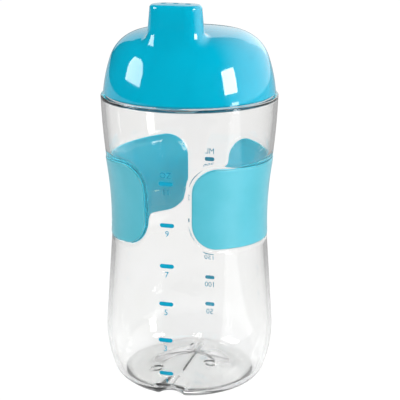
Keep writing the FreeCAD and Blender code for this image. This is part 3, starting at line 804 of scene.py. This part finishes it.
def spout_size(height):
    """Half run and end radius of the spout's slot-shaped outline at a height."""
    share = (height - SPOUT_BASE[0]) / (SPOUT_TOP[0] - SPOUT_BASE[0])
    length = SPOUT_BASE[1] + (SPOUT_TOP[1] - SPOUT_BASE[1]) * share
    width = SPOUT_BASE[2] + (SPOUT_TOP[2] - SPOUT_BASE[2]) * share
    return (length - width) / 2, width / 2


def spout_ring(shares, normals, height, inset=0.0):
    """Points round the spout at heights, moved inwards from its outline."""
    half_run, radius = spout_size(height)
    x = shares * half_run + normals[:, 0] * (radius - inset)
    y = normals[:, 1] * (radius - inset) - SPOUT_OFFSET
    return np.column_stack([x, y, np.broadcast_to(height, x.shape)])


def spout_foot(dome, shares, normals):
    """Points of the spout's outline where each column meets the dome."""
    height = np.full(len(shares), SPOUT_BASE[0])
    for _ in range(6):
        place = spout_ring(shares, normals, height)
        height = dome.at(dome.length_at_radius(np.hypot(place[:, 0], place[:, 1])))[1]
    return spout_ring(shares, normals, height)


def spout_rings(dome, angles):
    """Rings from the middle of the spout's top, down its wall and out over its flared foot."""
    centre = np.array([0.0, -SPOUT_OFFSET])
    edge = dome.lengths[-1] * np.column_stack([np.cos(angles), np.sin(angles)])
    directions = unit_rows(edge - unroll(dome, centre[None]))
    shares, normals = slot_columns(directions, *spout_size(SPOUT_BASE[0]))
    top = SPOUT_TOP[0]
    rim_low = top - SPOUT_ROUND - SPOUT_CROWN
    rings = []
    flat = spout_ring(shares, normals, rim_low, SPOUT_ROUND)
    for share in np.linspace(0.06, 1.0, 14, endpoint=False):
        disc = centre + (flat[:, :2] - centre) * share
        level = top - SPOUT_CROWN * share ** 2
        rings.append(np.column_stack([disc, np.full(len(disc), level)]))
    for turn in np.linspace(QUARTER, 0.0, 9):
        inset = SPOUT_ROUND * (1.0 - cos(turn))
        place = spout_ring(shares, normals, rim_low, inset)
        place[:, 2] = rim_low + SPOUT_ROUND * sin(turn)
        rings.append(place)
    foot = spout_foot(dome, shares, normals)
    front = np.clip(-normals[:, 1], 0.0, 1.0)
    back = np.clip(normals[:, 1], 0.0, 1.0)
    reach = FLARE_SIDE + (FLARE_FRONT - FLARE_SIDE) * front ** 1.5 + (FLARE_BACK - FLARE_SIDE) * back
    start_height = foot[:, 2] + reach * FLARE_LIFT
    for share in np.linspace(0.0, 1.0, 12)[1:]:
        rings.append(spout_ring(shares, normals, rim_low + (start_height - rim_low) * share))
    start = rings[-1]
    down = unit_rows(spout_ring(shares, normals, start_height - 1.0) - start)
    end_plan = foot[:, :2] + normals * reach[:, None]
    end_flat = unroll(dome, end_plan)
    end = roll(dome, end_flat)
    inwards = unit_rows(roll(dome, unroll(dome, end_plan - normals * 0.3)) - end)
    pull = (np.linalg.norm(end - start, axis=1) * FLARE_PULL)[:, None]
    a, b, c, d = start, start + down * pull, end + inwards * pull, end
    for share in np.linspace(0.0, 1.0, 17)[1:]:
        rest = 1.0 - share
        rings.append(a * rest ** 3 + b * 3 * rest ** 2 * share + c * 3 * rest * share ** 2
                     + d * share ** 3)
    for share in np.linspace(0.0, 1.0, 72)[1:]:
        rings.append(roll(dome, end_flat + (edge - end_flat) * share))
    return rings


def lid_inner_rings(angles):
    """Rings from the lid's lower edge up its threaded bore, over the plug and in to the middle."""
    rings = path_rings(angles, [
        (LID_EDGE[0] - 0.12, LID_EDGE[1] - 0.16), (LID_EDGE[0] - 0.4, LID_EDGE[1] - 0.22),
        (LID_FOOT[0] + 0.1, LID_EDGE[1] - 0.22), (LID_FOOT[0], LID_EDGE[1] - 0.3),
        (LID_FOOT[0], LID_FOOT[1] + 0.15), (LID_FOOT[0] - 0.15, LID_FOOT[1]),
        (LID_BORE + LID_CHAMFER, LID_FOOT[1]), (LID_BORE, LID_FOOT[1] + LID_CHAMFER)])
    rings += thread_rings(angles, LID_BORE, -THREAD_DEPTH, QUARTER)
    lining = dome_section(LID_WALL, PLUG_OUTER)
    shoulder, arc = lid_arcs(LID_WALL)[1]

    def under(radius):
        """The lining's height at a radius."""
        return shoulder[1] + sqrt(arc ** 2 - (radius - shoulder[0]) ** 2)

    rings += path_rings(angles, [
        (LID_BORE, LID_SEAT[1]), LID_SEAT, (LID_SEAT[0], under(LID_SEAT[0])),
        (PLUG_OUTER, under(PLUG_OUTER)), (PLUG_OUTER, PLUG_BOTTOM + PLUG_CHAMFER),
        (PLUG_OUTER - PLUG_CHAMFER, PLUG_BOTTOM), (PLUG_INNER + LID_CHAMFER, PLUG_BOTTOM),
        (PLUG_INNER, PLUG_BOTTOM + LID_CHAMFER), (PLUG_INNER, under(PLUG_INNER))])
    lengths = np.linspace(lining.length_at_radius(PLUG_INNER - 0.8), FIRST_RING, 26)
    return rings + path_rings(angles, [lining.at(length) for length in lengths])


def tool_solid(name, rings, x, y):
    """A solid from two rings, closed below and above with fans to the middle (x, y)."""
    skin = Skin()
    last = skin.add_rings(rings)
    for first, points in ((0, rings[0]), (last, rings[-1])):
        skin.close(first, len(points), (x, y, points[0, 2]), first == last)
    return new_piece(name, skin, 1.0)


def round_solid(name, x, y, radius, low, high, count=TOOL_COLUMNS):
    """An upright cylinder. Its first column is off the axes, so that two never share an edge."""
    angles = (np.arange(count) + OFF_AXIS) * FULL / count
    rings = [ring(angles, radius, level) + (x, y, 0) for level in (low, high)]
    return tool_solid(name, rings, x, y)


def spout_hollow():
    """The drink's way up the spout, slot-shaped and a little wider at its top."""
    angles = np.arange(TOOL_COLUMNS) * FULL / TOOL_COLUMNS
    shares = np.where(np.cos(angles) > 0, 1.0, -1.0)
    rings = []
    for height, length, width in SPOUT_HOLLOW:
        x = shares * (length - width) / 2 + np.cos(angles) * width / 2
        y = np.sin(angles) * width / 2 - SPOUT_OFFSET
        rings.append(np.column_stack([x, y, np.full(TOOL_COLUMNS, height)]))
    return tool_solid("spout_hollow", rings, 0, -SPOUT_OFFSET)


def make_lid():
    """The screw lid: dome, spout, thread, plug and the sockets for the valve carrier."""
    angles = FRONT + np.arange(LID_COLUMNS) * FULL / LID_COLUMNS
    skin = Skin()
    below = skin.add_rings(spout_rings(dome_section(0.0, LID_EDGE[0]), angles))
    skin.close(0, LID_COLUMNS, (0, -SPOUT_OFFSET, SPOUT_TOP[0]), False)
    below = skin.add_rings(lid_inner_rings(angles), below)
    skin.close(below, LID_COLUMNS, (0, 0, LID_TOP - LID_WALL), True)
    skin.faces = [face[::-1] for face in skin.faces]
    lid = new_piece("glossy_lid", skin, 1.0)
    tubes = [round_solid("tube", 0, place, radius + SOCKET_WALL, SOCKET_BOTTOM, SOCKET_TUBE_TOP)
             for place, radius in (DRINK_SOCKET, VENT_SOCKET)]
    combine(tubes[0], tubes[1], "UNION")
    combine(lid, tubes[0], "UNION")
    passage, air = [round_solid("way", 0, *socket, SOCKET_BOTTOM - CUT_PAST, SOCKET_TOP)
                    for socket in (DRINK_SOCKET, VENT_SOCKET)]
    combine(passage, spout_hollow(), "UNION")
    for i in range(SIP_HOLES):
        across = SIP_HOLE_SPACING * (i - (SIP_HOLES - 1) / 2)
        sip = round_solid("sip", across, -SPOUT_OFFSET, SIP_HOLE_RADIUS,
                          SPOUT_TOP[0] - SIP_HOLE_DEPTH, SPOUT_TOP[0] + CUT_PAST, HOLE_COLUMNS)
        combine(passage, sip, "UNION")
    vent = round_solid("vent", 0, VENT_SOCKET[0], VENT_HOLE_RADIUS,
                       SOCKET_TOP - CUT_PAST, LID_TOP + CUT_PAST, HOLE_COLUMNS)
    combine(air, vent, "UNION")
    combine(passage, air, "UNION")
    combine(lid, passage, "DIFFERENCE")
    tidy_mesh(lid, MERGE_GAP)
    lid.data.transform(Matrix.Scale(MM, 4))
    return shade_by_angle(lid, 35.0)


# ---- shader nodes

def add_node(tree, kind, *inputs, **values):
    """Adds a node to a tree and returns its outputs. Of the named values, those in small letters
    are settings and the others are inputs. The unnamed ones are its first inputs."""
    node = tree.nodes.new("ShaderNode" + kind)
    for name, value in [*values.items(), *enumerate(inputs)]:
        if isinstance(name, str) and name[0].islower():
            setattr(node, name, value)
            continue
        socket = node.inputs[name.replace("_", " ") if isinstance(name, str) else name]
        if isinstance(value, bpy.types.NodeSocket):
            tree.links.new(value, socket)
        else:
            socket.default_value = value
    return node.outputs


def maths(tree, operation, *terms):
    """The result of an operation, kept from 0 to 1."""
    return add_node(tree, "Math", *terms, operation=operation, use_clamp=True)["Value"]


def show_even(tree, kind, shown, rows):
    """A shader with an even white over it for some rays, in rows of its share and strength."""
    for share, strength in rows:
        even = add_node(tree, kind, grey(1.0), strength)[0]
        shown = add_node(tree, "MixShader", share, shown, even)["Shader"]
    return shown


def colour(red, green, blue):
    """A linear colour from 0 to 255 display values."""
    def linear(value):
        share = value / 255.0
        return share / 12.92 if share <= 0.04045 else ((share + 0.055) / 1.055) ** 2.4
    return (linear(red), linear(green), linear(blue), 1.0)


def grey(value):
    return (value, value, value, 1.0)


class Paint:
    """A material's node tree, with short ways to add nodes. Sizes and heights are in mm."""

    def __init__(self, name, **values):
        self.material = bpy.data.materials.new(name)
        self.material.use_nodes = True
        self.tree = self.material.node_tree
        principled = self.tree.nodes["Principled BSDF"]
        self.shader = principled.outputs["BSDF"]
        self.inputs = principled.inputs
        for socket, value in values.items():
            self.inputs[socket.replace("_", " ")].default_value = value
        self.place = self.node("TexCoord")["Object"]

    def node(self, kind, *inputs, **values):
        return add_node(self.tree, kind, *inputs, **values)

    def noise(self, size, detail=3.0, tall=1.0):
        """Noise with features of about a size, taller by a factor."""
        scale = [1.0 / (size * MM * stretch) for stretch in (1.0, 1.0, tall)]
        place = self.node("Mapping", Vector=self.place, Scale=scale)["Vector"]
        return self.node("TexNoise", Vector=place, Scale=1.0, Detail=detail)["Fac"]

    def spread(self, source, low, high, start=0.35, end=0.65):
        """A value that goes from low to high as its source goes from start to end."""
        return self.node("MapRange", source, start, end, low, high)["Result"]

    def tones(self, source, dark, light, start=0.35, end=0.65):
        """A colour that goes from dark to light as its source goes from start to end."""
        ramp = self.tree.nodes.new("ShaderNodeValToRGB")
        self.tree.links.new(source, ramp.inputs["Fac"])
        for stop, place, tone in zip(ramp.color_ramp.elements, (start, end), (dark, light)):
            stop.position = place
            stop.color = tone
        return ramp.outputs["Color"]

    def cloud(self, size, dark, light):
        """A colour that varies between two tones of display values."""
        return self.tones(self.noise(size), colour(*dark), colour(*light))

    def gloss(self, size, low, high):
        """A roughness that varies between two values."""
        return self.spread(self.noise(size), low, high)

    def mix(self, kind, share, first, second):
        """A blend of two colours or values, by the second one's share."""
        return self.node("Mix", data_type=kind, Factor=share, A=first, B=second)["Result"]

    def relief(self, *layers):
        """Bumps over each other, from rows of size, detail, height, strength and perhaps how much
        taller than wide they are."""
        below = {}
        for size, detail, height, strength, *tall in layers:
            below["Normal"] = self.node(
                "Bump", Height=self.noise(size, detail, *tall), Strength=strength,
                Distance=height * MM, **below)["Normal"]
        self.feed(**below)

    def feed(self, **sources):
        """Joins nodes' outputs to the shader's inputs."""
        for socket, source in sources.items():
            self.tree.links.new(source, self.inputs[socket.replace("_", " ")])

    def show(self, shader):
        self.tree.links.new(shader, self.tree.nodes["Material Output"].inputs["Surface"])


# ---- materials

# The cup's floor, up to a height and out to a radius, and the share of light that each layer
# lets through in a shadow, least at the foot
FLOOR_ZONE_HEIGHT = (6.4, 7.2)
FLOOR_ZONE_RADIUS = (28.6, 29.2)
SHADOW_HEIGHT = (4.0, 16.0)
SHADOW_TONE = (0.92, 0.98)


def clear_plastic():
    """Clear plastic with faint flow waves and varied gloss. In the floor it is duller, and a
    little greyer as painted shade of the shaded table under the cup. Shadow rays pass straight
    through, so its shadow is pale."""
    paint = Paint("clear_plastic", Transmission_Weight=1.0, IOR=1.47)
    axes = paint.node("SeparateXYZ", paint.place)
    flat = paint.node("CombineXYZ", axes["X"], axes["Y"])["Vector"]
    radius = paint.node("VectorMath", flat, operation="LENGTH")["Value"]
    low, near = (paint.spread(source, 1.0, 0.0, limits[0] * MM, limits[1] * MM)
                 for source, limits in ((axes["Z"], FLOOR_ZONE_HEIGHT),
                                        (radius, FLOOR_ZONE_RADIUS)))
    floor = maths(paint.tree, "MULTIPLY", low, near)
    # In the floor the tint is a little greyer, painted shade for the shaded table under the cup, and
    # the gloss is duller
    paint.feed(
        Base_Color=paint.mix("RGBA", floor, paint.cloud(30.0, (253, 253, 252), (255, 255, 255)),
                             paint.cloud(5.0, (248, 248, 247), (255, 255, 254))),
        Roughness=paint.mix("FLOAT", floor, paint.gloss(9.0, 0.008, 0.03),
                            paint.gloss(1.6, 0.03, 0.09)))
    paint.relief((22.0, 1.0, 0.03, 0.2, 3.0))
    rise = paint.spread(axes["Z"], 0.0, 1.0, SHADOW_HEIGHT[0] * MM, SHADOW_HEIGHT[1] * MM)
    shade = paint.tones(rise, grey(SHADOW_TONE[0]), grey(SHADOW_TONE[1]), 0.0, 1.0)
    passing = paint.node("BsdfTransparent", shade)["BSDF"]
    in_shadow = paint.node("LightPath")["Is Shadow Ray"]
    paint.show(paint.node("MixShader", in_shadow, paint.shader, passing)["Shader"])
    return paint.material


def moulded(name, cloud, gloss=None, layers=(), **values):
    """An opaque or milky material, with a clouded tone, varied gloss and layers of relief."""
    paint = Paint(name, **values)
    paint.feed(Base_Color=paint.cloud(*cloud))
    if gloss:
        paint.feed(Roughness=paint.gloss(*gloss))
    if layers:
        paint.relief(*layers)
    return paint.material


MATERIALS = {
    "clear_plastic": clear_plastic(),
    # soft rubber with a fine matt grain over a slight unevenness
    "soft_grip": moulded(
        "soft_grip", (16.0, (56, 174, 192), (70, 180, 199)), (2.2, 0.36, 0.46),
        [(0.35, 2.0, 0.012, 0.6), (6.0, 1.0, 0.05, 0.3)],
        IOR=1.45, Coat_Weight=0.7, Coat_Roughness=0.3, Sheen_Weight=0.2, Sheen_Roughness=0.4),
    # the same rubber where it is bonded to the clear plastic, so it has no gloss of its own,
    # and a much lighter copy of its tone: painted light on the faces seen through the wall
    "bonded_grip_painted_light": moulded(
        "bonded_grip_painted_light", (16.0, (76, 226, 251), (90, 231, 253)),
        IOR=1.45, Specular_IOR_Level=0.0, Roughness=0.9),
    # glossy plastic with a very fine orange peel
    "lid_plastic": moulded(
        "lid_plastic", (22.0, (0, 164, 195), (0, 170, 201)), (3.0, 0.035, 0.07),
        [(0.9, 2.0, 0.003, 0.3), (14.0, 1.0, 0.03, 0.2)],
        IOR=1.55, Coat_Weight=0.4, Coat_Roughness=0.02),
    # milky soft silicone with a satin surface
    "silicone": moulded(
        "silicone", (5.0, (222, 231, 234), (238, 243, 244)), (1.2, 0.32, 0.44),
        [(0.4, 2.0, 0.01, 0.4)],
        IOR=1.41, Transmission_Weight=0.35, Subsurface_Weight=0.25, Subsurface_Scale=2 * MM),
    # pale plastic with a fine spark-eroded texture
    "carrier_plastic": moulded(
        "carrier_plastic", (8.0, (150, 208, 222), (162, 215, 227)), (1.5, 0.3, 0.42),
        [(0.3, 2.0, 0.012, 0.5)], IOR=1.5),
    # screen-printed ink with the faint unevenness of the mesh
    "scale_ink": moulded(
        "scale_ink", (1.2, (0, 151, 184), (0, 160, 193)), (0.6, 0.3, 0.42),
        [(0.25, 1.0, 0.006, 0.5)], IOR=1.5, Specular_IOR_Level=0.1),
}
KEPT_NODES = {
    "lid_seal": "silicone",
    "valve_carrier": "carrier_plastic",
    "drinking_valve": "silicone",
    "vent_valve": "silicone",
}


# ---- assembly

def finish_piece(piece, slot, body, stands_for=None, hidden_material=None):
    """Gives a piece its materials and its body, and hides the CAD node that it stands for."""
    for name in (slot, hidden_material):
        if name:
            piece.data.materials.append(MATERIALS[name])
    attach(piece, body)
    if stands_for:
        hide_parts(stands_for)


finish_piece(make_cup(), "clear_plastic", "cup", "cup_body")
finish_piece(make_grip("right_soft_grip", 0.0), "soft_grip", "cup", "right_grip", "bonded_grip_painted_light")
finish_piece(make_grip("left_soft_grip", pi), "soft_grip", "cup", "left_grip", "bonded_grip_painted_light")
finish_piece(printed("ounce_scale", FRONT, OUNCE_MARKS, FRONT_DASH, "OZ"), "scale_ink", "cup")
finish_piece(printed("millilitre_scale", BACK, MILLILITRE_MARKS, BACK_DASH, "ML"),
             "scale_ink", "cup")
finish_piece(make_lid(), "lid_plastic", "lid", "lid")
for node, slot in KEPT_NODES.items():
    kept = bpy.data.objects[node].data.materials
    kept.clear()
    kept.append(MATERIALS[slot])


# ---- floor and room

FLOOR_HALF = 3000.0
FLOOR_DROP = 0.2
FLOOR_TONE = 0.82
FLOOR_FADE = (70, 220)
FLOOR_SEEN = 1.05
FLOOR_SEEN_SHARE = 0.93
FLOOR_THROUGH_PLASTIC = 0.93
FLOOR_IN_REFLECTIONS = 0.5
ROOM_SEEN = 1.02
ROOM_THROUGH_PLASTIC = 0.98
ROOM_AS_SOFT_LIGHT = 0.7
ROOM_IN_REFLECTIONS = (0.02, 1.25)
BRIGHT_SIDE = (0.75, 0.66, 0.0)
BRIGHT_SIDE_FADE = (0.3, 0.85)


def studio_rays(tree):
    """The light path's outputs, with masks for rays that have been reflected and for rays that
    come straight through plastic."""
    path = add_node(tree, "LightPath")
    reflected = maths(tree, "GREATER_THAN", path["Glossy Depth"], 0.5)
    straight = maths(tree, "SUBTRACT", path["Is Transmission Ray"], reflected)
    return path, reflected, straight


def add_floor():
    """A white table top, nearly even to the camera. In reflections and through the plastic it is
    lit by the lamps near the cup, and even away from it."""
    half = FLOOR_HALF * MM
    mesh = bpy.data.meshes.new("table_top")
    mesh.from_pydata([(-half, -half, 0), (half, -half, 0), (half, half, 0), (-half, half, 0)],
                     [], [(0, 1, 2, 3)])
    floor = add_object("table_top", mesh)
    floor.location.z = -FLOOR_DROP * MM
    paint = Paint("white_table", Base_Color=grey(FLOOR_TONE), Roughness=0.9,
                  Specular_IOR_Level=0.0)
    tree = paint.tree
    path, reflected, straight = studio_rays(tree)
    distance = paint.node("VectorMath", paint.place, operation="LENGTH")["Value"]
    far = paint.spread(distance, 0.0, 1.0, FLOOR_FADE[0] * MM, FLOOR_FADE[1] * MM)
    paint.show(show_even(tree, "Emission", paint.shader, [
        (maths(tree, "MULTIPLY", reflected, far), FLOOR_IN_REFLECTIONS),
        (maths(tree, "MULTIPLY", straight, far), FLOOR_THROUGH_PLASTIC),
        (maths(tree, "MULTIPLY", path["Is Camera Ray"], FLOOR_SEEN_SHARE), FLOOR_SEEN)]))
    mesh.materials.append(paint.material)


def add_world():
    """A white studio, even to the camera, through the plastic and as soft light. In reflections
    it is dark, and bright only on one side."""
    world = bpy.data.worlds.new("studio")
    world.use_nodes = True
    bpy.context.scene.world = world
    tree = world.node_tree
    tree.nodes.clear()
    path, _, straight = studio_rays(tree)
    ray = add_node(tree, "TexCoord")["Generated"]
    along = add_node(tree, "VectorMath", ray, BRIGHT_SIDE, operation="DOT_PRODUCT")["Value"]
    wall = add_node(tree, "MapRange", along, *BRIGHT_SIDE_FADE, *ROOM_IN_REFLECTIONS,
                    interpolation_type="SMOOTHSTEP")["Result"]
    reflection = add_node(tree, "Background", grey(1.0), wall)["Background"]
    shown = show_even(tree, "Background", reflection, [
        (straight, ROOM_THROUGH_PLASTIC), (path["Is Diffuse Ray"], ROOM_AS_SOFT_LIGHT),
        (path["Is Camera Ray"], ROOM_SEEN)])
    add_node(tree, "OutputWorld", shown)


# ---- lights and camera

# Lights that face the cup: azimuth from the front and elevation in degrees, distance, width and
# height, and brightness. Some light only matt surfaces, others only gloss and clear plastic.
AIM_HEIGHT = 90
SOFT_LIGHTS = {
    "right_wall": (108, 20, 800, (1150, 620), 0.6),
    "right_key": (66, 17, 600, (210, 220), 6.0),
    "front_key": (42, 20, 600, (300, 300), 2.0),
    "left_key": (-68, 26, 600, (240, 320), 4.6),
    "top_key": (196, 78, 700, (400, 400), 2.5),
}
GLOSS_LIGHTS = {
    "right_window": (71, 18, 600, (195, 180), 14.0),
    "left_window": (-66, 25, 600, (290, 280), 7.0),
    "right_low_window": (76, -3, 600, (110, 130), 8.0),
    "back_light": (192, 22, 700, (760, 400), 0.65),
}
# A strip light on the table that faces up: azimuth, where it starts and ends, width, brightness
TABLE_LIGHT = (76, 110, 520, 110, 0.9)
TABLE_LIGHT_HEIGHT = 1.0

CAMERA_DISTANCE = 540.7
CAMERA_HEIGHT = 232.3
CAMERA_AZIMUTH = 16.0
CAMERA_PITCH = 15.59
CAMERA_SENSOR = 36.0
CAMERA_LENS = 114.67
CAMERA_SHIFT = 0.02625


def around(azimuth, distance, height):
    """A place at an azimuth from the front, in radians, and a distance from the axis."""
    return Vector((sin(azimuth) * distance, -cos(azimuth) * distance, height))


def away_from_cup(azimuth, elevation):
    """The direction from the cup at an azimuth and an elevation in degrees."""
    rise = radians(elevation)
    return around(radians(azimuth), cos(rise), sin(rise))


def add_lamp(name, place, rotation, size, brightness):
    """A rectangular area light that the camera doesn't see."""
    lamp = bpy.data.lights.new(name, "AREA")
    lamp.shape = "RECTANGLE"
    lamp.size, lamp.size_y = size[0] * MM, size[1] * MM
    lamp.energy = brightness * pi * lamp.size * lamp.size_y
    holder = add_object(name, lamp)
    holder.location = place * MM
    holder.rotation_euler = rotation
    holder.visible_camera = False
    return holder


def facing(way):
    """The rotation of a light or camera that looks a way."""
    return way.to_track_quat("-Z", "Y").to_euler()


def add_softbox(name, azimuth, elevation, distance, size, brightness, matt):
    """A light that faces the cup, for matt surfaces or for gloss and clear plastic."""
    back = away_from_cup(azimuth, elevation)
    place = Vector((0, 0, AIM_HEIGHT)) + back * distance
    holder = add_lamp(name, place, facing(-back), size, brightness)
    holder.visible_diffuse = matt
    holder.visible_glossy = not matt
    holder.visible_transmission = not matt


def add_table_light(azimuth, near, far, width, brightness):
    """A strip light lying on the table and facing up, that runs away from the cup."""
    turn = radians(azimuth)
    place = around(turn, (near + far) / 2, TABLE_LIGHT_HEIGHT)
    rotation = (pi, 0.0, turn - QUARTER)
    add_lamp("right_table_light", place, rotation, (far - near, width), brightness)


def add_camera():
    """The camera, a little to the right of the front and looking slightly down."""
    data = bpy.data.cameras.new("camera")
    data.sensor_width = CAMERA_SENSOR
    data.lens = CAMERA_LENS
    data.shift_x = CAMERA_SHIFT
    camera = add_object("camera", data)
    camera.location = around(radians(CAMERA_AZIMUTH), CAMERA_DISTANCE, CAMERA_HEIGHT) * MM
    camera.rotation_euler = facing(-away_from_cup(CAMERA_AZIMUTH, CAMERA_PITCH))
    bpy.context.scene.camera = camera


add_floor()
add_world()
for name, row in SOFT_LIGHTS.items():
    add_softbox(name, *row, matt=True)
for name, row in GLOSS_LIGHTS.items():
    add_softbox(name, *row, matt=False)
add_table_light(*TABLE_LIGHT)
add_camera()
bpy.context.scene.view_settings.view_transform = "Standard"
